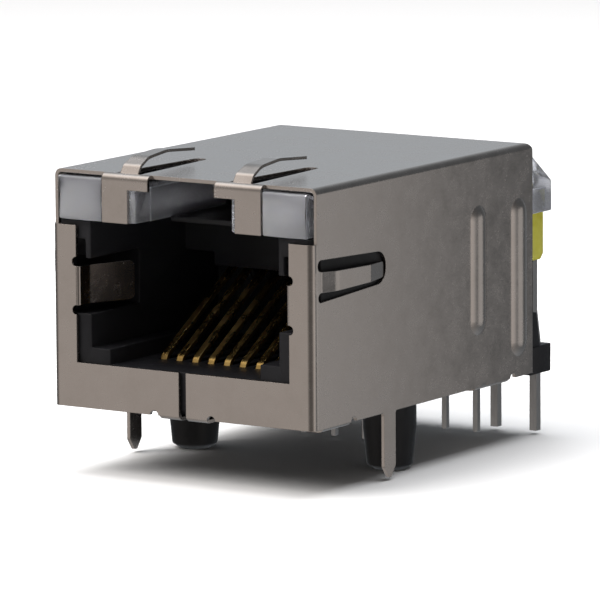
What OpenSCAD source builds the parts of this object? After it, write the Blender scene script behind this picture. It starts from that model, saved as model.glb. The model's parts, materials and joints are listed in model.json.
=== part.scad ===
// Shielded RJ45 board jack with light pipes, rear lamps and built-in magnetics.
// Millimetres. +Z is up from the circuit board, -Y is the plug side.
// The origin is midway between the two locating pegs, on the board surface.

/* [Shield] */
// Width over the side walls
shield_w = 16.7; // [16:0.1:17.5]
// Height of the top sheet over the board
shield_h = 13; // [12.7:0.1:14]
// Depth from the front flaps to the rear panel
shield_d = 22.1; // [21.8:0.1:24]
// Thickness of the folded sheet
sheet = 0.2; // [0.15:0.01:0.25]
// Outside radius of the long folds and of the front corners
fold_r = 0.4; // [0.3:0.05:0.6]
// Height of the side walls' lower edges over the board
stand_off = 0.2; // [0.1:0.05:0.3]

/* [Plug opening] */
// Width of the opening cut in the front sheet
opening_w = 13.6; // [13.2:0.02:13.8]
// Height of the opening's lower edge
opening_floor = 2.62; // [2.5:0.05:2.8]
// Height of the top of the front flaps
flap_top = 10.05; // [9.8:0.05:10.15]
// Width of the plug channel in the housing
plug_w = 12; // [11.8:0.05:12.2]
// Height of the shoulders that the plug slides on
plug_floor = 3.45; // [3.3:0.05:3.6]
// Height of the plug channel's roof
plug_roof = 10.34; // [10.25:0.05:10.5]
// Depth of the plug channel
plug_depth = 12.4; // [12:0.1:12.8]
// Width of the keyway for the plug's latch
keyway_w = 6.1; // [5.8:0.1:6.4]
// Width of the slit between the lower flaps
slit_w = 0.45; // [0.3:0.01:0.5]

/* [Contacts] */
// Number of contacts
contact_count = 8; // [4:2:8]
// Distance from contact to contact
contact_pitch = 1.02; // [0.95:0.01:1.05]
// Width of a contact
contact_w = 0.38; // [0.3:0.01:0.5]
// Thickness of a contact
contact_t = 0.25; // [0.2:0.01:0.3]
// Slope of the free arm, in degrees
contact_slope = 31; // [29:0.5:32]
// Distance of the contacts' front bend from the front
contact_front = 3.6; // [3.1:0.05:3.8]

/* [Board side] */
// Distance of the peg line from the front
peg_setback = 10.5; // [9.8:0.1:10.8]
// Distance between the pegs
peg_spacing = 12.7; // [12.5:0.1:12.8]
// Diameter of a peg
peg_d = 2.9; // [2.8:0.05:3.1]
// Length of a peg under the board surface
peg_len = 3.5; // [3:0.1:4]
// Length of the pins and leads under the board surface
pin_len = 3.3; // [3:0.1:4]
// Width and thickness of a signal pin
pin_w = 0.3; // [0.25:0.01:0.4]
// Distance from pin to pin in a row
pin_pitch = 2.03; // [1.9:0.01:2.1]
// Distance between the two pin rows
row_pitch = 5.08; // [5:0.02:5.2]
// Distance of the rear pin row from the rear panel's outer face
pin_row_inset = 0.6; // [0.55:0.05:0.8]
// Length of the ground tails under the board surface
tail_len = 3.35; // [3:0.1:4]
// Width of a ground tail
tail_w = 1.12; // [0.9:0.01:1.4]
// Distance of the ground tails from the front
tail_setback = 7.4; // [7:0.1:8]

/* [Lamps] */
// Width of a lamp
lamp_w = 3.15; // [2.8:0.05:3.2]
// Thickness of a lamp
lamp_t = 1.55; // [1.4:0.05:1.6]
// Gap between the rear panel and a lamp
lamp_gap = 0.38; // [0.3:0.02:0.5]
// Height of a lamp's foot over the board
lamp_foot = 6.3; // [6:0.1:6.8]
// Height of a lamp's top over the board
lamp_top = 10.3; // [10:0.05:10.35]
// Distance between a lamp's two leads
lead_pitch = 2.54; // [2.3:0.02:2.6]
// Width and thickness of a lamp's lead
lead_w = 0.45; // [0.4:0.01:0.5]
// Depth of the rear ledge behind the shield
ledge_d = 2.3; // [2.2:0.05:2.6]
// Height of the rear ledge
ledge_h = 1.55; // [1.4:0.05:1.6]

/* [Magnetics] */
// Outside diameter of a transformer core
core_d = 2.5; // [2.3:0.1:2.7]
// Height of a transformer core
core_h = 1.3; // [1:0.1:1.4]
// Outside diameter of a choke core
choke_d = 2.3; // [2.1:0.1:2.5]
// Height of a choke core
choke_h = 1.2; // [1:0.1:1.3]
// Thickness of the enamelled wire
wire_d = 0.16; // [0.12:0.01:0.17]
// Turns of wire on each core
turns = 12; // [8:1:14]
// Thickness of the inner circuit board
card_t = 0.8; // [0.6:0.1:1]

/* [Hidden] */
$fn = 48;
eps = 0.01;
fit = 0.05;                                  // clearance of one moulding in another
pin_fit = 0.02;                              // clearance round a pin
inner_w = shield_w - 2 * sheet;              // room between the side walls
inner_top = shield_h - sheet;
rear_face = shield_d;
housing_w = inner_w - 2 * fit;
housing_foot = sheet + 2 * fit;              // lies on the folded tongues
housing_top = inner_top - 2 * fit;
housing_front = sheet + fit;

// top fingers: bowed tongues behind the two tabs
finger_x = 3.6;
finger_w = 1.2;
finger_tip_w = 0.4;
finger_len = 6.4;
finger_rise = 0.85;
finger_gap = 0.2;                            // gap beside a finger in its slot
finger_slot_end = finger_len + 0.85;

// front flaps and tabs
flap_edge = opening_w / 2;
rim_setback = 0.36;                          // front edge of the top and sides behind the tabs' face
tab_w = 2.95;                                // width of the tab in front of a light pipe
tab_leg_w = 1.65;                            // width of its long lower part
tab_inner = finger_x - tab_w / 2;
tab_outer = finger_x + tab_w / 2;
tab_step = tab_outer - tab_leg_w;
tab_step_z = shield_h - 0.85;
tab_low = plug_roof;
relief_r = 0.26;
notch_x = 1.82;
tongue_x = 1.5;                              // outer edge of the folded front tongues
tongue_len = 1.7;

// plug springs: strips folded in from the opening's edges
plug_spring_z = 5.72;
plug_spring_h = 2.1;
plug_spring_reach = 3.6;
plug_spring_lean = 1.25;                     // how far it leans into the channel

// side springs: tongues bowed out of slots in the side walls
slot_start = fold_r + 0.02;
slot_end = 7.05;
slot_low = 6.95;                             // its lower edge at the front
slot_rise = 0.3;                             // rise of that edge towards the rear
slot_top = 9.2;                              // its upper edge at the front
slot_drop = 0.26;                            // fall of that edge towards the rear
slot_r = 0.8;                                // its rear corners
side_spring_low = 7.45;
side_spring_h = 1.14;
side_spring_tip_low = 7.54;
side_spring_tip_h = 0.84;
side_spring_tip_r = 0.2;
side_spring_bow = 0.34;
side_spring_crease = 5.1;                    // where it turns back into the slot

// ribs pressed out of each side wall: [distance from the front, low end, high end]
ribs = [[16.42, 3.08, 10.2], [20.64, 1.34, 10.13]];
rib_w = 1.62;
rib_rise = 0.3;

// folded tongues under the side walls: [start, end] from the front
side_tongues = [[0.95, 3.65], [16.2, 19.7]];
side_tongue_len = 1.15;
wall_notches = [3.85, 17.05, 20];
wall_notch_r = 0.27;
tail_tip_w = 0.24;                           // width of a ground tail's point
tail_point = 0.6;                            // length of its pointed part
tail_root_r = 0.25;                          // fillet where it leaves the wall

// housing
shoulder_x = 4.8;                            // half width of the contact trough
block_d = 1.55;                              // depth of a light pipe's front block
lens_bulge = 0.1;                            // rise of a light pipe's rounded front face
lens_proud = 0.05;                           // how far that face stands in front of the tabs
lens_gap = 0.24;                             // gap between a front block and the side wall
pipe_inner = keyway_w / 2;                   // inner face of a light pipe's front block
bar_inner = pipe_inner - 0.1;                // inner face of its bar
bar_top = shield_h - 0.85;                   // top of a light pipe behind its front block
keyway_d = 8.6;                              // depth of the keyway between the light pipes
catch_y = 3.3;                               // front edge of the catch for the plug's latch
catch_t = 0.3;
edge = 0.25;                                 // chamfer of the housing's outer edges
comb_front = 9.25;
comb_lip = 0.7;                              // wall in front of the comb's slots
comb_w = contact_count * contact_pitch + 0.1;
comb_low = 6.9;
comb_top = 8.3;
comb_side_w = plug_w;
comb_side_low = 7.65;
comb_side_top = 9;
back_wall = 0.5;                             // wall behind the plug channel
bay_front = plug_depth + back_wall;
bay_w = housing_w - 1.7;
bay_top = plug_roof - 0.35;
housing_rear = rear_face - sheet - fit;

// contacts, in their own Y-Z plane
run_z = 1.76;                                // centre height of the run under the floor
riser_y = bay_front + 0.65;
arm_z = opening_floor + 0.16;                // centre height where the arm leaves the floor
arm_len = 9.3;

// inner parts
base_w = bay_w - 2 * fit;
base_top = 1.55;
carrier_d = 1.2;
card_z = 6.3;
card_rear = housing_rear - 0.1;
pin_row = rear_face - pin_row_inset;
inner_row = pin_row - row_pitch;
pin_top = card_z + card_t + 0.25;
rear_pins = [-2.5, -1.5, 1.5, 2.5];          // places in the rear row, in pitches
inner_pins = [-1.5, -0.5, 0.5, 1.5];         // places in the inner row
stack_y = (inner_row + pin_row) / 2;
wire_fit = 0.02;                             // play of a coil on its core
stack_gap = 0.2;                             // between neighbouring coils
stack_pitch = core_d + 2 * (wire_fit + wire_d) + stack_gap;
core_bore = core_d / 2;
choke_bore = choke_d / 2;
capacitor = [4.5, 1.9, 1.4];
resistor = [0.8, 1.6, 0.45];
transformer_z = base_top + wire_d;
choke_z = transformer_z + core_h + 2 * wire_d;

// lamps
pipe_wall = 0.2;                             // skirt of a light pipe round its lamp
pipe_outer = inner_w / 2 - fit;
lamp_x = pipe_outer - pipe_wall - lamp_w / 2;
lamp_y = rear_face + lamp_gap;
lead_y = lamp_y + lamp_t / 2;
lead_out = 0.35;                             // step of the leads over the ramp
ledge_w = inner_w;
ledge_rear = rear_face + ledge_d;
pipe_rear = lamp_y + lamp_t + pipe_wall + 0.35;
pipe_top = inner_top - 0.12;
pipe_slope = 1.5;                            // height of the sloping mirror face
skirt_low = lamp_top - 1.35;
window_top = shield_h - 0.75;
window_x = lamp_x - lamp_w / 2 - pipe_wall - fit;   // inner edge of the rear windows

// names of the pieces

// ---------- strips: a bent wire or sheet seen from its edge ----------

function unit(v) = v / norm(v);
function turned(v) = [-v[1], v[0]];
function short_way(a) = a > 180 ? a - 360 : a < -180 ? a + 360 : a;

// points of the arc of radius r that rounds the corner b between a and c
function corner(a, b, c, r, n = 6) =
    let (u = unit(a - b), w = unit(c - b), half = acos(u * w) / 2,
         centre = b + unit(u + w) * r / sin(half),
         from = b + u * r / tan(half) - centre, to = b + w * r / tan(half) - centre,
         start = atan2(from[1], from[0]), sweep = short_way(atan2(to[1], to[0]) - start))
    [for (k = [0 : n]) centre + r * [cos(start + sweep * k / n), sin(start + sweep * k / n)]];

// a polyline whose inner corners are rounded, each with its own radius
function rounded(path, radii) =
    [for (i = [0 : len(path) - 1])
        each (i == 0 || i == len(path) - 1 ? [path[i]]
              : corner(path[i - 1], path[i], path[i + 1], radii[i - 1]))];

function heading(p, i) = unit(p[min(i + 1, len(p) - 1)] - p[max(i - 1, 0)]);

module strip(path, radii, thick) {
    p = rounded(path, radii);
    last = len(p) - 1;
    polygon(concat(
        [for (i = [0 : last]) p[i] + turned(heading(p, i)) * thick / 2],
        [for (i = [last : -1 : 0]) p[i] - turned(heading(p, i)) * thick / 2]));
}

// ---------- ways to stand a flat outline up ----------

// an outline drawn in X-Z, given depth from y0 to y1
module along_y(y0, y1) {
    translate([0, y1, 0]) rotate([90, 0, 0]) linear_extrude(y1 - y0) children();
}

// an outline drawn in Y-Z, given width from x0 to x1
module along_x(x0, x1) {
    translate([x0, 0, 0]) rotate([90, 0, 90]) linear_extrude(x1 - x0) children();
}

// an outline drawn in X-Y, given height from z0 to z1
module along_z(z0, z1) {
    translate([0, 0, z0]) linear_extrude(z1 - z0) children();
}

module both_sides() {
    children();
    mirror([1, 0, 0]) children();
}

module box(x0, x1, y0, y1, z0, z1) {
    translate([x0, y0, z0]) cube([x1 - x0, y1 - y0, z1 - z0]);
}

// moves what is measured from the jack's front to the frame at the pegs
module from_front() {
    translate([0, -peg_setback, 0]) children();
}

// ---------- shield ----------

// a box with round upper edges along Y and a round upper rear edge
module folded_block(w, d, low, top, r) {
    intersection() {
        along_y(-1, d) {
            translate([-w / 2, low]) square([w, top - r - low]);
            translate([r - w / 2, low]) square([w - 2 * r, top - low]);
            for (s = [-1, 1]) translate([s * (w / 2 - r), top - r]) circle(r);
        }
        along_x(-w, w) {
            translate([-1, low]) square([d + 1, top - r - low]);
            translate([-1, low]) square([d + 1 - r, top - low]);
            translate([d - r, top - r]) circle(r);
        }
    }
}

// a quarter of a bent sheet, drawn with its centre at the origin, in the quadrant x > 0, y < 0
module quarter_fold(r) {
    intersection() {
        difference() {
            circle(r);
            circle(r - sheet);
        }
        translate([0, -r]) square(r);
    }
}

module rib_solid(rib, inset) {
    r = rib_rise / 2 + rib_w * rib_w / 8 / rib_rise;
    end = rib_w / 2;
    translate([shield_w / 2 + rib_rise - r, rib[0], 0]) {
        translate([0, 0, rib[1] + end]) cylinder(r = r - inset, h = rib[2] - rib[1] - 2 * end);
        for (z = [rib[1] + end, rib[2] - end]) translate([0, 0, z]) sphere(r - inset);
    }
}

module ribs_outside() {
    intersection() {
        for (rib = ribs) rib_solid(rib, 0);
        box(inner_w / 2, shield_w, 0, shield_d, 0, shield_h);
    }
}

module ribs_inside() {
    for (rib = ribs) rib_solid(rib, sheet);
}

// one front flap with half of the sheet under the opening
module front_flap_outline() {
    difference() {
        translate([slit_w / 2, stand_off]) square([shield_w / 2 - fold_r - slit_w / 2, flap_top - stand_off]);
        translate([-1, opening_floor]) square([flap_edge + 1, shield_h]);
        for (z = [plug_spring_z - relief_r, plug_spring_z + plug_spring_h + relief_r])
            translate([flap_edge, z]) circle(relief_r);
        translate([notch_x, stand_off]) circle(relief_r);
    }
}

module front_flap() {
    along_y(0, sheet) front_flap_outline();
    translate([shield_w / 2 - fold_r, fold_r, 0]) along_z(stand_off, flap_top) quarter_fold(fold_r);
}

module tab_outline() {
    translate([tab_inner, tab_step_z]) square([tab_outer - tab_inner, shield_h - fold_r - tab_step_z]);
    translate([tab_step, tab_low]) square([tab_outer - tab_step, tab_step_z - tab_low + eps]);
}

module tab() {
    along_y(0, sheet) tab_outline();
    translate([0, fold_r, shield_h - fold_r])
        along_x(tab_inner, tab_outer) mirror([1, 0, 0]) mirror([0, 1, 0]) quarter_fold(fold_r);
}

module front_tongue() {
    translate([0, fold_r, fold_r]) along_x(slit_w / 2, tongue_x) mirror([1, 0, 0]) quarter_fold(fold_r);
    box(slit_w / 2, tongue_x, 0, sheet, fold_r, stand_off + fold_r);
    box(slit_w / 2, tongue_x, fold_r, fold_r + tongue_len, 0, sheet);
}

module side_tongue(span) {
    translate([shield_w / 2 - fold_r, 0, fold_r]) along_y(span[0], span[1]) quarter_fold(fold_r);
    box(shield_w / 2 - sheet, shield_w / 2, span[0], span[1], fold_r, stand_off + fold_r);
    box(shield_w / 2 - fold_r - side_tongue_len, shield_w / 2 - fold_r, span[0], span[1], 0, sheet);
}

module ground_tail() {
    half = tail_w / 2;
    tail_side = [[half + 2 * tail_root_r, sheet / 2], [half, 0], [half, tail_point - tail_len - stand_off],
                 [tail_tip_w / 2, -tail_len - stand_off]];
    tail_radii = [tail_root_r, 0.2, 0.08, 0.08, 0.2, tail_root_r];
    along_x(shield_w / 2 - sheet, shield_w / 2)
        translate([tail_setback, stand_off + eps]) polygon(rounded(concat(
            [for (p = tail_side) [-p[0], p[1]]],
            [for (i = [len(tail_side) - 1 : -1 : 0]) tail_side[i]]), tail_radii));
}

// two slits with round front ends, joined behind the spring's root
module side_slot() {
    upper_r = (slot_top - side_spring_low - side_spring_h) / 2;
    lower_r = (side_spring_low - slot_low) / 2;
    start = slot_start + upper_r;
    along_x(shield_w / 2 - 2 * sheet, shield_w) {
        polygon(rounded([[start, slot_low], [slot_end, slot_low + slot_rise],
                         [slot_end, slot_top - slot_drop], [start, slot_top]], [slot_r, slot_r]));
        translate([start, slot_top - upper_r]) circle(upper_r);
        translate([start, slot_low + lower_r]) circle(lower_r);
    }
}

module side_spring() {
    x = (shield_w - sheet) / 2;
    tip = slot_end - finger_gap;
    crest = x + side_spring_bow;
    r = side_spring_tip_r;
    intersection() {
        along_z(slot_low, slot_top)
            strip([[x, slot_start - sheet], [x, slot_start + 2 * sheet], [crest, slot_start + 1.4],
                   [crest, side_spring_crease], [x - 0.02, tip]], [0.8, 1.5, 0.5], 0.8 * sheet);
        along_x(0, shield_w)
            polygon(rounded([[0, side_spring_low], [tip, side_spring_tip_low],
                             [tip, side_spring_tip_low + side_spring_tip_h],
                             [0, side_spring_low + side_spring_h]], [r, r]));
    }
}

module plug_spring() {
    x = flap_edge;
    r = 0.35;
    tip = plug_spring_reach - r;
    intersection() {
        along_z(plug_spring_z, plug_spring_z + plug_spring_h)
            strip([[x + 0.05, sheet / 2], [x - 0.12, sheet / 2], [x - 0.16, 0.9],
                   [x - plug_spring_lean, plug_spring_reach]], [0.1, 0.6], 0.8 * sheet);
        along_x(0, shield_w) {
            translate([0, plug_spring_z]) square([tip, plug_spring_h]);
            translate([0, plug_spring_z + r]) square([plug_spring_reach, plug_spring_h - 2 * r]);
            for (z = [r, plug_spring_h - r]) translate([tip, plug_spring_z + z]) circle(r);
        }
    }
}

// a tongue that narrows from its root to its tip
module finger_outline(gap, start, end) {
    root = finger_w / 2 + gap;
    tip = finger_tip_w / 2;
    translate([finger_x, 0])
        polygon([[-root, start], [root, start], [tip + gap, end], [-tip - gap, end]]);
}

module finger_slot() {
    along_z(inner_top - sheet, shield_h + 1) {
        finger_outline(finger_gap, fold_r + 0.05, finger_slot_end - finger_tip_w / 2);
        translate([finger_x, finger_slot_end - finger_tip_w / 2]) circle(finger_tip_w / 2 + finger_gap);
    }
}

module finger() {
    z = shield_h - sheet / 2;
    intersection() {
        along_x(finger_x - finger_w / 2, finger_x + finger_w / 2)
            strip([[fold_r - sheet / 2, z], [fold_r + sheet / 2, z], [fold_r + 2 * sheet, z + 0.55 * finger_rise],
                   [finger_len / 4, z + finger_rise], [0.55 * finger_len, z + 1.18 * finger_rise],
                   [finger_len, z + 0.9 * finger_rise]], [0.1, 0.35, 1.5, 4], 0.8 * sheet);
        along_z(inner_top, shield_h + 2) finger_outline(0, 0, finger_len + 0.1);
    }
}

module rear_window() {
    box(window_x, inner_w / 2, rear_face - fold_r - eps, rear_face + 1, -1, window_top);
}

module shield_half() {
    front_flap();
    tab();
    front_tongue();
    for (span = side_tongues) side_tongue(span);
    ground_tail();
    side_spring();
    plug_spring();
    finger();
}

module shield() {
    color([0.73, 0.70, 0.67]) from_front() {
        difference() {
            union() {
                difference() {
                    folded_block(shield_w, shield_d, stand_off, shield_h, fold_r);
                    folded_block(inner_w, shield_d - sheet, -1, inner_top, fold_r - sheet);
                }
                both_sides() ribs_outside();
            }
            box(-shield_w, shield_w, -2, rim_setback, -1, shield_h + 1);
            both_sides() {
                ribs_inside();
                box(shield_w / 2 - fold_r, shield_w, -1, fold_r, -1, flap_top);
                box(tab_inner, tab_outer, -1, fold_r, shield_h - fold_r, shield_h + 1);
                side_slot();
                finger_slot();
                rear_window();
                for (y = wall_notches) translate([shield_w / 2, y, stand_off])
                    rotate([0, 90, 0]) cylinder(r = wall_notch_r, h = 1, center = true);
            }
            box(-window_x, window_x, rear_face - sheet - eps, rear_face + 1, -1, base_top + 0.3);
        }
        both_sides() shield_half();
    }
}

// ---------- housing ----------

module contact_places() {
    for (i = [0 : contact_count - 1])
        translate([(i - (contact_count - 1) / 2) * contact_pitch, 0, 0]) children();
}

module peg() {
    straight = 1.2;
    chamfer = [0.4, 0.25];
    tip_d = peg_d - 0.4;
    translate([peg_spacing / 2, peg_setback, 0]) {
        translate([0, 0, -straight]) cylinder(d = peg_d, h = straight + housing_foot + eps);
        translate([0, 0, chamfer[1] - peg_len])
            cylinder(d1 = tip_d, d2 = peg_d, h = peg_len - straight - chamfer[1]);
        translate([0, 0, -peg_len]) cylinder(d1 = tip_d - 2 * chamfer[0], d2 = tip_d, h = chamfer[1]);
    }
}

// the moulding before its cavities: three outlines with chamfered edges, crossed
module housing_block() {
    half = housing_w / 2;
    mid = bar_inner - fit;
    front = housing_front;
    rear = housing_rear;
    side_top = plug_roof - fit;
    intersection() {
        along_y(front, rear)
            polygon([[-half, housing_foot + edge], [edge - half, housing_foot], [half - edge, housing_foot],
                     [half, housing_foot + edge], [half, side_top], [mid, side_top], [mid, housing_top],
                     [-mid, housing_top], [-mid, side_top], [-half, side_top]]);
        along_x(-half, half)
            polygon([[front, housing_foot + edge], [front + edge, housing_foot], [rear, housing_foot],
                     [rear, housing_top - edge], [rear - edge, housing_top], [front, housing_top]]);
        along_z(0, shield_h)
            polygon([[-half, front + edge], [edge - half, front], [half - edge, front],
                     [half, front + edge], [half, rear], [-half, rear]]);
    }
}

module contact_groove() {
    w = contact_w + 2 * fit;
    box(-w / 2, w / 2, contact_front - 0.3, bay_front + 1, run_z - contact_t / 2 - pin_fit, plug_floor);
    box(-w / 2, w / 2, comb_front + comb_lip, plug_depth + eps, comb_low - 1, comb_top - 0.2);
}

module comb() {
    along_y(comb_front, plug_depth + eps) {
        translate([-comb_w / 2, comb_low]) square([comb_w, comb_top - comb_low]);
        translate([-comb_side_w / 2, comb_side_low]) square([comb_side_w, comb_side_top - comb_side_low]);
        translate([-plug_w / 2, comb_side_top]) square([plug_w, plug_roof - comb_side_top]);
    }
}

module housing() {
    color([0.09, 0.09, 0.10]) from_front() {
        difference() {
            union() {
                difference() {
                    housing_block();
                    // plug channel, contact trough and latch keyway
                    box(-plug_w / 2, plug_w / 2, -1, plug_depth, plug_floor, plug_roof);
                    box(-shoulder_x, shoulder_x, -1, plug_depth, opening_floor, plug_floor + eps);
                    box(-keyway_w / 2, keyway_w / 2, -1, keyway_d, plug_roof - eps, shield_h);
                    // room for the light pipes' front blocks and the tabs
                    box(-housing_w, housing_w, -1, block_d + 2 * fit, plug_roof - fit, shield_h);
                    // bay for the magnetics, open below and behind
                    box(-bay_w / 2, bay_w / 2, bay_front, shield_d, -1, bay_top);
                }
                comb();
                box(fit - bar_inner, bar_inner - fit, catch_y, plug_depth, plug_roof - 0.2,
                    plug_roof - 0.2 + catch_t);
            }
            contact_places() contact_groove();
            // pockets behind the plug springs and side springs
            both_sides() {
                box(plug_w / 2 - eps, housing_w / 2 - 0.55, -1, plug_spring_reach + 1.2,
                    plug_spring_z - 0.45, plug_spring_z + plug_spring_h + 0.45);
                box(flap_edge - 0.45, shield_w, -1, 1.1, plug_spring_z - 0.45, slot_top + 0.1);
            }
        }
        both_sides() peg();
    }
}

// ---------- contacts and inner parts ----------

module contact() {
    slope = [cos(contact_slope), sin(contact_slope)];
    bend = [contact_front + 0.02, run_z];
    color([0.85, 0.65, 0.25]) from_front()
        along_x(-contact_w / 2, contact_w / 2)
            strip([[riser_y, pin_top], [riser_y, run_z], [contact_front - 0.35, run_z],
                   [contact_front + 0.12, arm_z], [contact_front + 0.12, arm_z] + arm_len * slope],
                  [0.3, 0.32, 0.4], contact_t);
}

module contact_at(i) {
    translate([(i - (contact_count + 1) / 2) * contact_pitch, 0, 0]) contact();
}

module contact_carrier() {
    color([0.12, 0.12, 0.13]) from_front() difference() {
        box(-base_w / 2, base_w / 2, bay_front + fit, bay_front + carrier_d, base_top, card_z);
        contact_places()
            box(-contact_w / 2 - pin_fit, contact_w / 2 + pin_fit, bay_front - 1,
                riser_y + contact_t / 2 + pin_fit, base_top - 1, card_z + 1);
    }
}

module pin_places(places, row_y) {
    for (k = places) translate([k * pin_pitch, row_y, 0]) children();
}

module pin_hole(w) {
    translate([-w / 2 - pin_fit, -w / 2 - pin_fit, -1]) cube([w + 2 * pin_fit, w + 2 * pin_fit, shield_h]);
}

// a square pin with a small chamfer at its lower end
module pin() {
    chamfer = pin_w / 5;
    along_y(-pin_w / 2, pin_w / 2)
        polygon([[-pin_w / 2, pin_top], [-pin_w / 2, chamfer - pin_len], [chamfer - pin_w / 2, -pin_len],
                 [pin_w / 2 - chamfer, -pin_len], [pin_w / 2, chamfer - pin_len], [pin_w / 2, pin_top]]);
}

module signal_pins(places, row_y) {
    color([0.78, 0.77, 0.74]) from_front() pin_places(places, row_y) pin();
}

module pin_base() {
    ramp_top = ledge_h + 1.9;
    ramp_out = lead_w / 2 + 0.05;
    plinth = shield_w / 2 - fold_r - side_tongue_len - fit;
    join = rear_face + fit + eps;
    color([0.10, 0.10, 0.11]) from_front() difference() {
        union() {
            box(-base_w / 2, base_w / 2, bay_front + fit, join, housing_foot, base_top);
            box(-plinth, plinth, bay_front + carrier_d, join, 0, base_top);
            box(-ledge_w / 2, ledge_w / 2, rear_face + fit, ledge_rear, 0, ledge_h);
            both_sides() along_x(window_x + fit, pipe_outer)
                polygon([[rear_face + fit, ledge_h - eps], [lead_y + lead_out - ramp_out, ledge_h - eps],
                         [lead_y - ramp_out, ramp_top], [rear_face + fit, ramp_top]]);
        }
        pin_places(rear_pins, pin_row) pin_hole(pin_w);
        pin_places(inner_pins, inner_row) pin_hole(pin_w);
        both_sides() for (s = [-1, 1])
            translate([lamp_x + s * lead_pitch / 2, lead_y + lead_out, 0]) pin_hole(lead_w);
    }
}

module circuit_board() {
    color([0.12, 0.35, 0.2]) from_front() difference() {
        box(0.1 - base_w / 2, base_w / 2 - 0.1, bay_front + fit, card_rear, card_z, card_z + card_t);
        pin_places(rear_pins, pin_row) pin_hole(pin_w);
        pin_places(inner_pins, inner_row) pin_hole(pin_w);
        contact_places() translate([0, riser_y, 0]) pin_hole(contact_w);
    }
}

// ---------- light pipes and lamps ----------

// the block behind the front tab, with the rounded lens beside it
module pipe_block() {
    lens = [tab_outer + fit, inner_w / 2 - lens_gap];
    mid = (lens[0] + lens[1]) / 2;
    half = (lens[1] - lens[0]) / 2;
    bow = (half * half + lens_bulge * lens_bulge) / lens_bulge / 2;
    front = sheet + fit;
    along_x(pipe_inner, lens[1])
        polygon([[front, plug_roof], [front, pipe_top - edge], [front + edge, pipe_top],
                 [block_d, pipe_top], [block_d, plug_roof]]);
    intersection() {
        box(lens[0], lens[1], -lens_proud, block_d, plug_roof, pipe_top);
        along_z(0, shield_h) translate([mid, bow - lens_proud]) circle(bow, $fn = 200);
    }
}

// the bar under the top sheet and its turned-down end with a sloping mirror face
module pipe_bar() {
    top = min(bar_top, window_top - fit);
    along_x(bar_inner, pipe_outer)
        polygon([[block_d - eps, plug_roof], [block_d - eps, top], [rear_face + 0.5, top],
                 [pipe_rear, top - pipe_slope], [pipe_rear, skirt_low], [rear_face + fit, skirt_low],
                 [rear_face + fit, plug_roof]]);
}

module light_pipe() {
    r = fold_r - sheet;
    color([0.80, 0.82, 0.86, 0.6]) from_front() difference() {
        intersection() {
            union() {
                pipe_block();
                pipe_bar();
            }
            along_y(-1, pipe_rear + 1) {
                square([pipe_outer - r, pipe_top]);
                square([pipe_outer, pipe_top - r]);
                translate([pipe_outer - r, pipe_top - r]) circle(r);
            }
        }
        // seat for the lamp
        box(lamp_x - lamp_w / 2 - pin_fit, lamp_x + lamp_w / 2 + pin_fit, rear_face,
            lamp_y + lamp_t + pin_fit, skirt_low - 1, lamp_top + pin_fit);
        // the inner face steps back where it passes the rear panel
        box(0, window_x + fit, rear_face - 1, pipe_rear + 1, plug_roof - 2, shield_h);
    }
}

module lamp() {
    chamfer = 0.3;
    color([0.80, 0.80, 0.15, 0.8]) from_front()
        along_x(lamp_x - lamp_w / 2, lamp_x + lamp_w / 2)
            polygon([[lamp_y, lamp_foot], [lamp_y + lamp_t - chamfer, lamp_foot],
                     [lamp_y + lamp_t, lamp_foot + chamfer], [lamp_y + lamp_t, lamp_top],
                     [lamp_y, lamp_top]]);
}

module lamp_lead(x) {
    color([0.85, 0.85, 0.87]) from_front()
        along_x(x - lead_w / 2, x + lead_w / 2)
            strip([[lead_y, lamp_foot], [lead_y, ledge_h + 1.95], [lead_y + lead_out, ledge_h + 0.2],
                   [lead_y + lead_out, -pin_len]], [0.6, 0.6], lead_w);
}

// ---------- magnetics ----------

module ring(d, bore, h, z) {
    translate([0, 0, z]) rotate_extrude() translate([bore / 2, 0]) square([(d - bore) / 2, h]);
}

// a coil on a ring core: the wires lie side by side in the bore and fan out over the core
module winding(d, bore, h, z) {
    reach = (d - bore) / 2 + wire_fit;
    sunk = 0.6 * wire_d;
    ring(bore - 2 * wire_fit, bore - 2 * wire_d, h + 2 * sunk, z - sunk);
    for (k = [0 : turns - 1]) rotate((k + 0.5) * 360 / turns)
        translate([bore / 2, -wire_d / 2, z - wire_d]) difference() {
            translate([-0.7 * wire_d, 0, 0]) cube([reach + 1.7 * wire_d, wire_d, h + 2 * wire_d]);
            translate([-1, -1, wire_d]) cube([1 + reach, 2, h]);
        }
}

module stack_at(i) {
    from_front() translate([(i - 2.5) * stack_pitch, stack_y, 0]) children();
}

module transformer_core() {
    color([0.25, 0.25, 0.27]) ring(core_d, core_bore, core_h, transformer_z);
}

module transformer_winding() {
    color([0.72, 0.35, 0.15]) winding(core_d, core_bore, core_h, transformer_z);
}

module choke_core() {
    color([0.25, 0.25, 0.27]) ring(choke_d, choke_bore, choke_h, choke_z);
}

module choke_winding() {
    color([0.55, 0.60, 0.20]) winding(choke_d, choke_bore, choke_h, choke_z);
}

module chip(x, y, size) {
    from_front() translate([x - size[0] / 2, y, card_z + card_t]) cube(size);
}

module chip_resistor(i) {
    color([0.15, 0.15, 0.16]) chip((i - 2.5) * pin_pitch, riser_y + contact_w, resistor);
}

module chip_capacitor() {
    color([0.75, 0.62, 0.45]) chip(0, stack_y - capacitor[1] / 2, capacitor);
}

// ---------- the jack ----------

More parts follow.
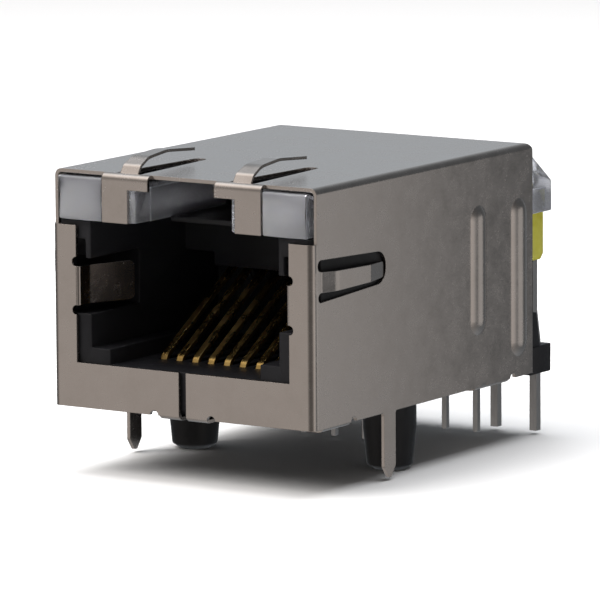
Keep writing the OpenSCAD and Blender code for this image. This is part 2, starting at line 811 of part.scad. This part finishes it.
shield();
housing();
contact_carrier();
pin_base();
circuit_board();
mirror([1, 0, 0]) light_pipe();  // light_pipe_left
light_pipe();  // light_pipe_right
mirror([1, 0, 0]) lamp();  // lamp_left
lamp();  // lamp_right
lamp_lead(-lamp_x - lead_pitch / 2);  // lamp_lead_1
lamp_lead(-lamp_x + lead_pitch / 2);  // lamp_lead_2
lamp_lead(lamp_x - lead_pitch / 2);  // lamp_lead_3
lamp_lead(lamp_x + lead_pitch / 2);  // lamp_lead_4
for (i = [1 : 8]) {
    contact_at(i);
}
signal_pins(rear_pins, pin_row);  // signal_pins_rear
signal_pins(inner_pins, inner_row);  // signal_pins_inner
for (i = [1 : 4]) {
    stack_at(i) transformer_core();
    stack_at(i) transformer_winding();
    stack_at(i) choke_core();
    stack_at(i) choke_winding();
    chip_resistor(i);
}
chip_capacitor();
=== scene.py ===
import json
import math

import bpy
from mathutils import Matrix, Vector

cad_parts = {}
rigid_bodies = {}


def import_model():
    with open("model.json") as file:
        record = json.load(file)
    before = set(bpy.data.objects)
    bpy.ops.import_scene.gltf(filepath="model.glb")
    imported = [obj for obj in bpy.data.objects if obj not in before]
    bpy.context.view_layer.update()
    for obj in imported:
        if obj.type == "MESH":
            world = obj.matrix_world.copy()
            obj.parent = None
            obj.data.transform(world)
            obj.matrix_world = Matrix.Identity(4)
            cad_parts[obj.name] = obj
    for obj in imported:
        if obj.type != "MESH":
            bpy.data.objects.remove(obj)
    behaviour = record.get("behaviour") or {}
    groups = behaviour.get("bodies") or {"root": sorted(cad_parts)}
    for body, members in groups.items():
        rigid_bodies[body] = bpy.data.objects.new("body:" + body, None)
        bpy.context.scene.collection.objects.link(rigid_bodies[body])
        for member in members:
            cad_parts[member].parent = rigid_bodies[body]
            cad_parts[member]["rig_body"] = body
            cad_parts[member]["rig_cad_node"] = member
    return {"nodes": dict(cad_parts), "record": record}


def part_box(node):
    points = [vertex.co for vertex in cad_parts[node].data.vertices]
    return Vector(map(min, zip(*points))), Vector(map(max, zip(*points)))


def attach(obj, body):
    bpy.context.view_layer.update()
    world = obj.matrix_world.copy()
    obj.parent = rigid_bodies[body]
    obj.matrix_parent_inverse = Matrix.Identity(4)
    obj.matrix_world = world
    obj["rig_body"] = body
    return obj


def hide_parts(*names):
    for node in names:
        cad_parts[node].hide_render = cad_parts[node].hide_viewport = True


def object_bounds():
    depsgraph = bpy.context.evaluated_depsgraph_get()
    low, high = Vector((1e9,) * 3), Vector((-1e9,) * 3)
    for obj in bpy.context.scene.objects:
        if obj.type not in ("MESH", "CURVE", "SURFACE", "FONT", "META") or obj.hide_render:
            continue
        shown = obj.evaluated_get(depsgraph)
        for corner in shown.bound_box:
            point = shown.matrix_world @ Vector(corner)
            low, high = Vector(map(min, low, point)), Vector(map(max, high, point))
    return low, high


mm = 0.001
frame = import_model()
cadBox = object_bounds()
print("frame loaded:", len(frame["nodes"]), "nodes")


class Wire:
    # a node's output that can stand in a Python expression
    def __init__(self, finish, socket):
        self.finish = finish
        self.socket = socket

    def maths(self, operation, first=None, second=0.0):
        # the wire is the first term where none is given
        first = self if first is None else first
        return self.finish.add("ShaderNodeMath", {"operation": operation}, {0: first, 1: second})

    def __add__(self, other):
        return self.maths("ADD", self, other)

    def __radd__(self, other):
        return self.maths("ADD", other, self)

    def __sub__(self, other):
        return self.maths("SUBTRACT", self, other)

    def __rsub__(self, other):
        return self.maths("SUBTRACT", other, self)

    def __mul__(self, other):
        return self.maths("MULTIPLY", self, other)

    def __rmul__(self, other):
        return self.maths("MULTIPLY", other, self)

    def __pow__(self, other):
        return self.maths("POWER", self, other)

    def above(self, other):
        return self.maths("GREATER_THAN", self, other)


class Finish:
    # a material or a world, built from nodes
    def __init__(self, owner, shaderType="ShaderNodeBsdfPrincipled"):
        owner.use_nodes = True
        self.owner = owner
        self.tree = owner.node_tree
        self.shader = next(n for n in self.tree.nodes if n.bl_idname == shaderType)

    def plug(self, socket, value):
        if isinstance(value, Wire):
            self.tree.links.new(value.socket, socket)
        else:
            socket.default_value = value

    def add(self, kind, settings=None, values=None, out=0):
        node = self.tree.nodes.new(kind)
        for name, value in (settings or {}).items():
            setattr(node, name, value)
        for name, value in (values or {}).items():
            self.plug(node.inputs[name], value)
        return Wire(self, node.outputs[out])

    def set(self, **values):
        for name, value in values.items():
            self.plug(self.shader.inputs[name.replace("_", " ")], value)

    def place(self, scale=(1, 1, 1), turn=(0, 0, 0)):
        # object coordinates in millimetres, stretched and turned
        coords = self.add("ShaderNodeTexCoord", out="Object")
        scaled = tuple(s / mm for s in scale)
        return self.add("ShaderNodeMapping", {}, {"Vector": coords, "Scale": scaled, "Rotation": turn})

    def noise(self, where, size=1.0, detail=3.0, rough=0.5):
        # size is the width of a blob in the units of where
        values = {"Vector": where, "Scale": 1 / size, "Detail": detail, "Roughness": rough}
        return self.add("ShaderNodeTexNoise", {"noise_dimensions": "3D"}, values)

    def spread(self, value, low, high, toLow=0.0, toHigh=1.0):
        names = {"Value": value, "From Min": low, "From Max": high, "To Min": toLow, "To Max": toHigh}
        return self.add("ShaderNodeMapRange", {"clamp": True}, names)

    def blend(self, factor, first, second):
        node = {"data_type": "RGBA", "blend_type": "MIX"}
        return self.add("ShaderNodeMix", node, {0: factor, 6: (*first, 1), 7: (*second, 1)}, out=2)

    def soften(self, radius):
        # rounds the look of sharp edges, radius in millimetres
        return self.add("ShaderNodeBevel", {"samples": 6}, {"Radius": radius * mm})

    def bump(self, height, depth, under=None):
        # depth is the height in millimetres of a full step
        values = {"Height": height, "Distance": depth * mm}
        if under:
            values["Normal"] = under
        return self.add("ShaderNodeBump", {}, values)


def newFinish(name):
    return Finish(bpy.data.materials.new(name))


nickel = {
    "light": (0.62, 0.57, 0.535),
    "dark": (0.53, 0.485, 0.45),
    "roughness": (0.20, 0.28),
    "grain": 0.12,
    "grainStretch": (1, 0.45, 1),
    "grainDepth": 0.0006,
    "mottle": 1.4,
    "hairline": 1.2,
    "hairlineStretch": (0.3, 6, 6),
    "hairlineTurn": (0.1, 0, 0.05),
    "hairlineDepth": 0.3,   # of the grain's depth
    "hairlineShine": 0.04,
    "edge": 0.045,
}


def nickelFinish():
    # satin nickel plate over rolled brass sheet: fine grain, faint blotches, hairline marks
    made = newFinish("satinNickel")
    grain = made.noise(made.place(nickel["grainStretch"]), nickel["grain"], 4, 0.65)
    mottle = made.noise(made.place(), nickel["mottle"], 4, 0.6)
    along = made.place(nickel["hairlineStretch"], nickel["hairlineTurn"])
    marks = made.spread(made.noise(along, nickel["hairline"], 2, 0.5), 0.66, 0.72)
    tone = made.spread(mottle * 0.65 + grain * 0.35, 0.36, 0.62)
    wear = grain * 0.5 + mottle * 0.5 - marks * nickel["hairlineShine"]
    relief = grain + nickel["hairlineDepth"] * marks
    low, high = nickel["roughness"]
    made.set(Base_Color=made.blend(tone, nickel["dark"], nickel["light"]), Metallic=1.0)
    made.set(Roughness=made.spread(wear, 0.38, 0.62, low, high))
    made.set(Normal=made.bump(relief, nickel["grainDepth"], made.soften(nickel["edge"])))
    return made.owner


tin = {
    "color": (0.50, 0.50, 0.50),
    "roughness": (0.34, 0.5),
    "grain": 0.09,
    "grainStretch": (1, 1, 0.2),
    "grainDepth": 0.0012,
    "edge": 0.05,
}


def tinFinish():
    # matt tin on the pins and leads, drawn along their length
    made = newFinish("mattTin")
    grain = made.noise(made.place(tin["grainStretch"]), tin["grain"], 3, 0.6)
    low, high = tin["roughness"]
    made.set(Base_Color=(*tin["color"], 1), Metallic=1.0)
    made.set(Roughness=made.spread(grain, 0.35, 0.65, low, high))
    made.set(Normal=made.bump(grain, tin["grainDepth"], made.soften(tin["edge"])))
    return made.owner


gold = {
    "bright": (0.80, 0.55, 0.19),
    "dull": (0.66, 0.43, 0.14),
    "roughness": (0.24, 0.32),
    "patch": 0.4,
    "patchStretch": (1, 0.3, 0.3),
    "edge": 0.05,
}


def goldFinish():
    # gold over nickel on the contact wires, a little duller in patches
    made = newFinish("contactGold")
    patches = made.noise(made.place(gold["patchStretch"]), gold["patch"], 2, 0.5)
    low, high = gold["roughness"]
    made.set(Base_Color=made.blend(made.spread(patches, 0.35, 0.6), gold["dull"], gold["bright"]))
    made.set(Metallic=1.0, Roughness=made.spread(patches, 0.35, 0.65, low, high))
    made.set(Normal=made.soften(gold["edge"]))
    return made.owner


moulding = {
    "dark": (0.006, 0.006, 0.007),
    "light": (0.012, 0.012, 0.014),
    "roughness": (0.36, 0.52),
    "grain": 0.16,
    "grainDepth": 0.003,
    "flow": 2.2,
    "flowStretch": (1, 0.3, 1),
    "shine": 0.35,
}


def mouldingFinish():
    # glass-filled black polymer, fine spark-eroded texture
    made = newFinish("blackPolymer")
    grain = made.noise(made.place(), moulding["grain"], 4, 0.6)
    flow = made.noise(made.place(moulding["flowStretch"]), moulding["flow"], 3, 0.5)
    tone = made.spread(flow * 0.6 + grain * 0.4, 0.35, 0.65)
    low, high = moulding["roughness"]
    made.set(Base_Color=made.blend(tone, moulding["dark"], moulding["light"]))
    made.set(Roughness=made.spread(grain, 0.3, 0.7, low, high), Specular_IOR_Level=moulding["shine"])
    made.set(Normal=made.bump(grain, moulding["grainDepth"]))
    return made.owner


clear = {
    "deep": (0.62, 0.63, 0.68),
    "frost": (0.80, 0.80, 0.86),
    "frostDepth": 0.5,
    "frostRoughness": 0.25,
    "roughness": (0.10, 0.22),
    "skin": 0.5,
    "skinDepth": 0.0008,
    "clearness": 0.86,
    "ior": 1.49,
}


def clearFinish():
    # clear moulding with a milky front face
    made = newFinish("clearPolymer")
    skin = made.noise(made.place(), clear["skin"], 3, 0.5)
    along = made.add("ShaderNodeSeparateXYZ", {}, {0: made.place()}, out="Y")
    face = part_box("light_pipe_left")[0][1] / mm
    milky = made.spread(along, face, face + clear["frostDepth"], 1, 0)
    low, high = clear["roughness"]
    made.set(Base_Color=made.blend(milky, clear["deep"], clear["frost"]))
    made.set(Transmission_Weight=clear["clearness"], IOR=clear["ior"])
    made.set(Roughness=made.spread(skin, 0.3, 0.7, low, high) + clear["frostRoughness"] * milky)
    made.set(Normal=made.bump(skin, clear["skinDepth"]))
    return made.owner


resin = {
    "deep": (0.50, 0.46, 0.03),
    "pale": (0.62, 0.59, 0.09),
    "roughness": (0.16, 0.24),
    "cloud": 0.7,
    "clearness": 0.3,
    "ior": 1.5,
}


def resinFinish():
    # tinted diffused resin of the lamps
    made = newFinish("lampResin")
    cloud = made.noise(made.place(), resin["cloud"], 3, 0.5)
    low, high = resin["roughness"]
    made.set(Base_Color=made.blend(made.spread(cloud, 0.3, 0.7), resin["deep"], resin["pale"]))
    made.set(Roughness=made.spread(cloud, 0.3, 0.7, low, high))
    made.set(Transmission_Weight=resin["clearness"], IOR=resin["ior"])
    return made.owner


laminate = {
    "dark": (0.012, 0.10, 0.045),
    "light": (0.016, 0.13, 0.06),
    "roughness": (0.28, 0.36),
    "weave": 1.1,
    "weaveWobble": 0.6,
    "weaveDepth": 0.003,
}


def laminateFinish():
    # green solder mask over woven glass
    made = newFinish("boardLaminate")
    bands = {"wave_type": "BANDS", "bands_direction": "DIAGONAL"}
    threads = {"Vector": made.place(), "Scale": laminate["weave"], "Distortion": laminate["weaveWobble"]}
    weave = made.add("ShaderNodeTexWave", bands, threads, out="Fac")
    low, high = laminate["roughness"]
    made.set(Base_Color=made.blend(weave, laminate["dark"], laminate["light"]))
    made.set(Roughness=made.spread(weave, 0, 1, low, high))
    made.set(Normal=made.bump(weave, laminate["weaveDepth"]))
    return made.owner


ferrite = {
    "dark": (0.035, 0.035, 0.038),
    "light": (0.075, 0.075, 0.08),
    "roughness": (0.55, 0.75),
    "grit": 0.06,
    "gritDepth": 0.006,
    "metal": 0.2,
}


def ferriteFinish():
    # sintered ferrite, dark and slightly sparkling
    made = newFinish("ferrite")
    grit = made.noise(made.place(), ferrite["grit"], 4, 0.7)
    tone = made.spread(grit, 0.4, 0.65)
    low, high = ferrite["roughness"]
    made.set(Base_Color=made.blend(tone, ferrite["dark"], ferrite["light"]), Metallic=ferrite["metal"])
    made.set(Roughness=made.spread(grit, 0.3, 0.7, low, high))
    made.set(Normal=made.bump(grit, ferrite["gritDepth"]))
    return made.owner


copper = {"name": "copperEnamel", "dark": (0.45, 0.17, 0.06), "bright": (0.62, 0.27, 0.10)}
green = {"name": "greenEnamel", "dark": (0.16, 0.22, 0.05), "bright": (0.26, 0.33, 0.08)}


def enamelFinish(name, dark, bright):
    # enamelled copper wire
    made = newFinish(name)
    flow = made.noise(made.place(), 0.5, 2, 0.5)
    made.set(Base_Color=made.blend(made.spread(flow, 0.35, 0.65), dark, bright), Metallic=0.85)
    made.set(Roughness=made.spread(flow, 0.3, 0.7, 0.18, 0.3), Coat_Weight=0.5)
    return made.owner


# half is the half length of the bare body, where the tinned caps begin
capacitor = {"name": "capacitorCeramic", "body": (0.42, 0.29, 0.17), "cap": (0.6, 0.6, 0.6), "half": 1.85}
glaze = {"name": "resistorGlaze", "body": (0.03, 0.03, 0.035), "cap": (0.6, 0.6, 0.6), "half": 50}


def ceramicFinish(name, body, cap, half):
    # fired body with tinned end caps
    made = newFinish(name)
    speck = made.noise(made.place(), 0.12, 3, 0.6)
    across = made.add("ShaderNodeSeparateXYZ", {}, {0: made.place()}, out="X")
    capped = across.maths("ABSOLUTE").above(half)
    shade = tuple(0.8 * c for c in body)
    bare = made.blend(made.spread(speck, 0.3, 0.7), shade, body)
    color = made.add("ShaderNodeMix", {"data_type": "RGBA"}, {0: capped, 6: bare, 7: (*cap, 1)}, out=2)
    made.set(Base_Color=color, Roughness=made.spread(speck, 0.3, 0.7, 0.4, 0.55), Metallic=capped)
    return made.owner


finishes = {
    "plated_sheet": nickelFinish(),
    "tinned_wire": tinFinish(),
    "gold_plate": goldFinish(),
    "black_moulding": mouldingFinish(),
    "clear_plastic": clearFinish(),
    "lamp_resin": resinFinish(),
    "board_laminate": laminateFinish(),
    "ferrite": ferriteFinish(),
    "copper_wire": enamelFinish(**copper),
    "green_wire": enamelFinish(**green),
    "capacitor_ceramic": ceramicFinish(**capacitor),
    "resistor_black": ceramicFinish(**glaze),
}
print("finishes made:", len(finishes))

slotOf = {part["node"]: part["material_slot"] for part in frame["record"]["subparts"]}


def dress(obj, slot):
    obj.data.materials.clear()
    obj.data.materials.append(finishes[slot])


for name, obj in frame["nodes"].items():
    dress(obj, slotOf[name])
print("nodes dressed")


def pickOnly(obj):
    bpy.ops.object.select_all(action="DESELECT")
    obj.select_set(True)
    bpy.context.view_layer.objects.active = obj


sharp = math.radians(35)    # an edge that turns by more is eased
flat = math.radians(0.5)    # faces that turn by less are one
merge = 0.001 * mm

eased = {
    "housing": {"name": "mouldedHousing", "width": 0.06, "steps": 2},
    "pin_base": {"name": "rearBase", "width": 0.06, "steps": 2},
    "light_pipe_left": {"name": "leftLightPipe", "width": 0.09, "steps": 3},
    "light_pipe_right": {"name": "rightLightPipe", "width": 0.09, "steps": 3},
    "lamp_left": {"name": "leftLamp", "width": 0.08, "steps": 3},
    "lamp_right": {"name": "rightLamp", "width": 0.08, "steps": 3},
}


def easeEdges(node, name, width, steps):
    # a copy of the node, merged to whole faces, with a small round on every sharp edge
    pickOnly(frame["nodes"][node])
    bpy.ops.object.duplicate()
    piece = bpy.context.object
    piece.name = name
    piece.data.name = name
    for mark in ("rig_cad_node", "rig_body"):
        if mark in piece:
            del piece[mark]
    piece.parent = None
    bpy.ops.object.mode_set(mode="EDIT")
    bpy.ops.mesh.select_all(action="SELECT")
    bpy.ops.mesh.remove_doubles(threshold=merge)
    bpy.ops.mesh.dissolve_limited(angle_limit=flat)
    bpy.ops.object.mode_set(mode="OBJECT")
    bevel = piece.modifiers.new("ease", "BEVEL")
    bevel.width = width * mm
    bevel.segments = steps
    bevel.limit_method = "ANGLE"
    bevel.angle_limit = sharp
    bevel.use_clamp_overlap = False
    bevel.miter_outer = "MITER_ARC"
    bpy.ops.object.modifier_apply(modifier="ease")
    bpy.ops.object.shade_smooth_by_angle(angle=sharp)
    dress(piece, slotOf[node])
    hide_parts(node)
    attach(piece, "root")


for node, look in eased.items():
    easeEdges(node, **look)
print("edges eased:", len(eased))


stage = {
    "size": 3.0,
    "gap": 0.02,    # under the lowest point, in millimetres
    "color": (0.86, 0.86, 0.86),
    "roughness": 0.85,
    "shine": 0.1,
}


def makeFloor():
    low = cadBox[0][2] - stage["gap"] * mm
    bpy.ops.mesh.primitive_plane_add(size=stage["size"], location=(0, 0, low))
    floor = bpy.context.object
    floor.name = "floor"
    made = newFinish("paleFloor")
    made.set(Base_Color=(*stage["color"], 1), Roughness=stage["roughness"])
    made.set(Specular_IOR_Level=stage["shine"])
    floor.data.materials.append(made.owner)
    floor.visible_glossy = False


lightAim = (0, 0, 6)
# sheen says whether the metal mirrors the light or only the room
lights = {
    "key": {"at": (-110, -190, 230), "size": 190, "power": 0.9, "color": (1.0, 0.98, 0.96), "sheen": False},
    "top": {"at": (0, 30, 300), "size": 260, "power": 1.0, "color": (0.97, 0.98, 1.0), "sheen": False},
    "card": {"at": (71, 54, -2), "size": 50, "power": 0.0030, "color": (1.0, 0.96, 0.93), "sheen": True},
}


def makeLight(name, at, size, power, color, sheen):
    light = bpy.data.lights.new(name, "AREA")
    light.size = size * mm
    light.energy = power
    light.color = color
    obj = bpy.data.objects.new(name, light)
    bpy.context.scene.collection.objects.link(obj)
    obj.location = Vector(at) * mm
    aim = Vector(lightAim) * mm - obj.location
    obj.rotation_euler = aim.to_track_quat("-Z", "Y").to_euler()
    obj.visible_glossy = sheen
    obj.visible_camera = False


# the room seen in the metal: a dim studio, warm in front and cool behind
room = {
    "base": 0.10,
    "warm": (1.06, 0.99, 0.94),
    "cool": (0.93, 1.0, 1.07),
    "change": (-0.3, 0.6),    # where warm turns to cool, from front to back
}

# soft glows in the room, each from a direction and narrower as its focus grows
glows = [
    {"from": (-0.54, 0.83, 0.12), "bright": 0.42, "focus": 7},      # behind left
    {"from": (-0.60, -0.78, -0.10), "bright": 0.40, "focus": 14},   # front left
    {"from": (1.0, -0.25, -0.05), "bright": 0.55, "focus": 16},     # right
    {"from": (-0.35, -0.10, 0.93), "bright": 1.5, "focus": 6},      # ceiling
    {"from": (0.0, 0.0, -1.0), "bright": 0.35, "focus": 2},         # table
]


def makeRoom():
    world = bpy.data.worlds.new("studio")
    bpy.context.scene.world = world
    made = Finish(world, "ShaderNodeBackground")
    where = made.add("ShaderNodeTexCoord", out="Generated")
    total = room["base"]
    for glow in glows:
        aim = Vector(glow["from"]).normalized()
        dot = {"operation": "DOT_PRODUCT"}
        facing = made.add("ShaderNodeVectorMath", dot, {0: where, 1: aim}, out="Value")
        lit = facing.maths("MAXIMUM") ** glow["focus"]
        total = total + glow["bright"] * lit
    depth = made.add("ShaderNodeSeparateXYZ", {}, {0: where}, out="Y")
    turn = made.spread(depth, *room["change"])
    made.set(Color=made.blend(turn, room["warm"], room["cool"]), Strength=total)


# angles in degrees, lengths in millimetres
camera = {
    "turn": 33.249,
    "rise": 8.805,
    "roll": -0.369,
    "distance": 342.493,
    "aim": (0, 0.5, 6.7),
    "slide": (0.256, -1.601),
    "lens": 378.2,
}


def makeCamera():
    turn, rise, roll = (math.radians(camera[k]) for k in ("turn", "rise", "roll"))
    back = Vector((math.sin(turn) * math.cos(rise), -math.cos(turn) * math.cos(rise), math.sin(rise)))
    level = Vector((math.cos(turn), math.sin(turn), 0))
    right = Matrix.Rotation(roll, 3, back) @ level
    up = back.cross(right)
    data = bpy.data.cameras.new("view")
    data.lens = camera["lens"]
    data.clip_start = 0.01
    obj = bpy.data.objects.new("view", data)
    bpy.context.scene.collection.objects.link(obj)
    across, rising = camera["slide"]
    spot = Vector(camera["aim"]) + across * right + rising * up + camera["distance"] * back
    place = Matrix((right, up, back)).transposed().to_4x4()
    place.translation = spot * mm
    obj.matrix_world = place
    bpy.context.scene.camera = obj


makeFloor()
for name, light in lights.items():
    makeLight(name, **light)
makeRoom()
makeCamera()
bpy.context.scene.view_settings.view_transform = "Standard"
print("stage set")
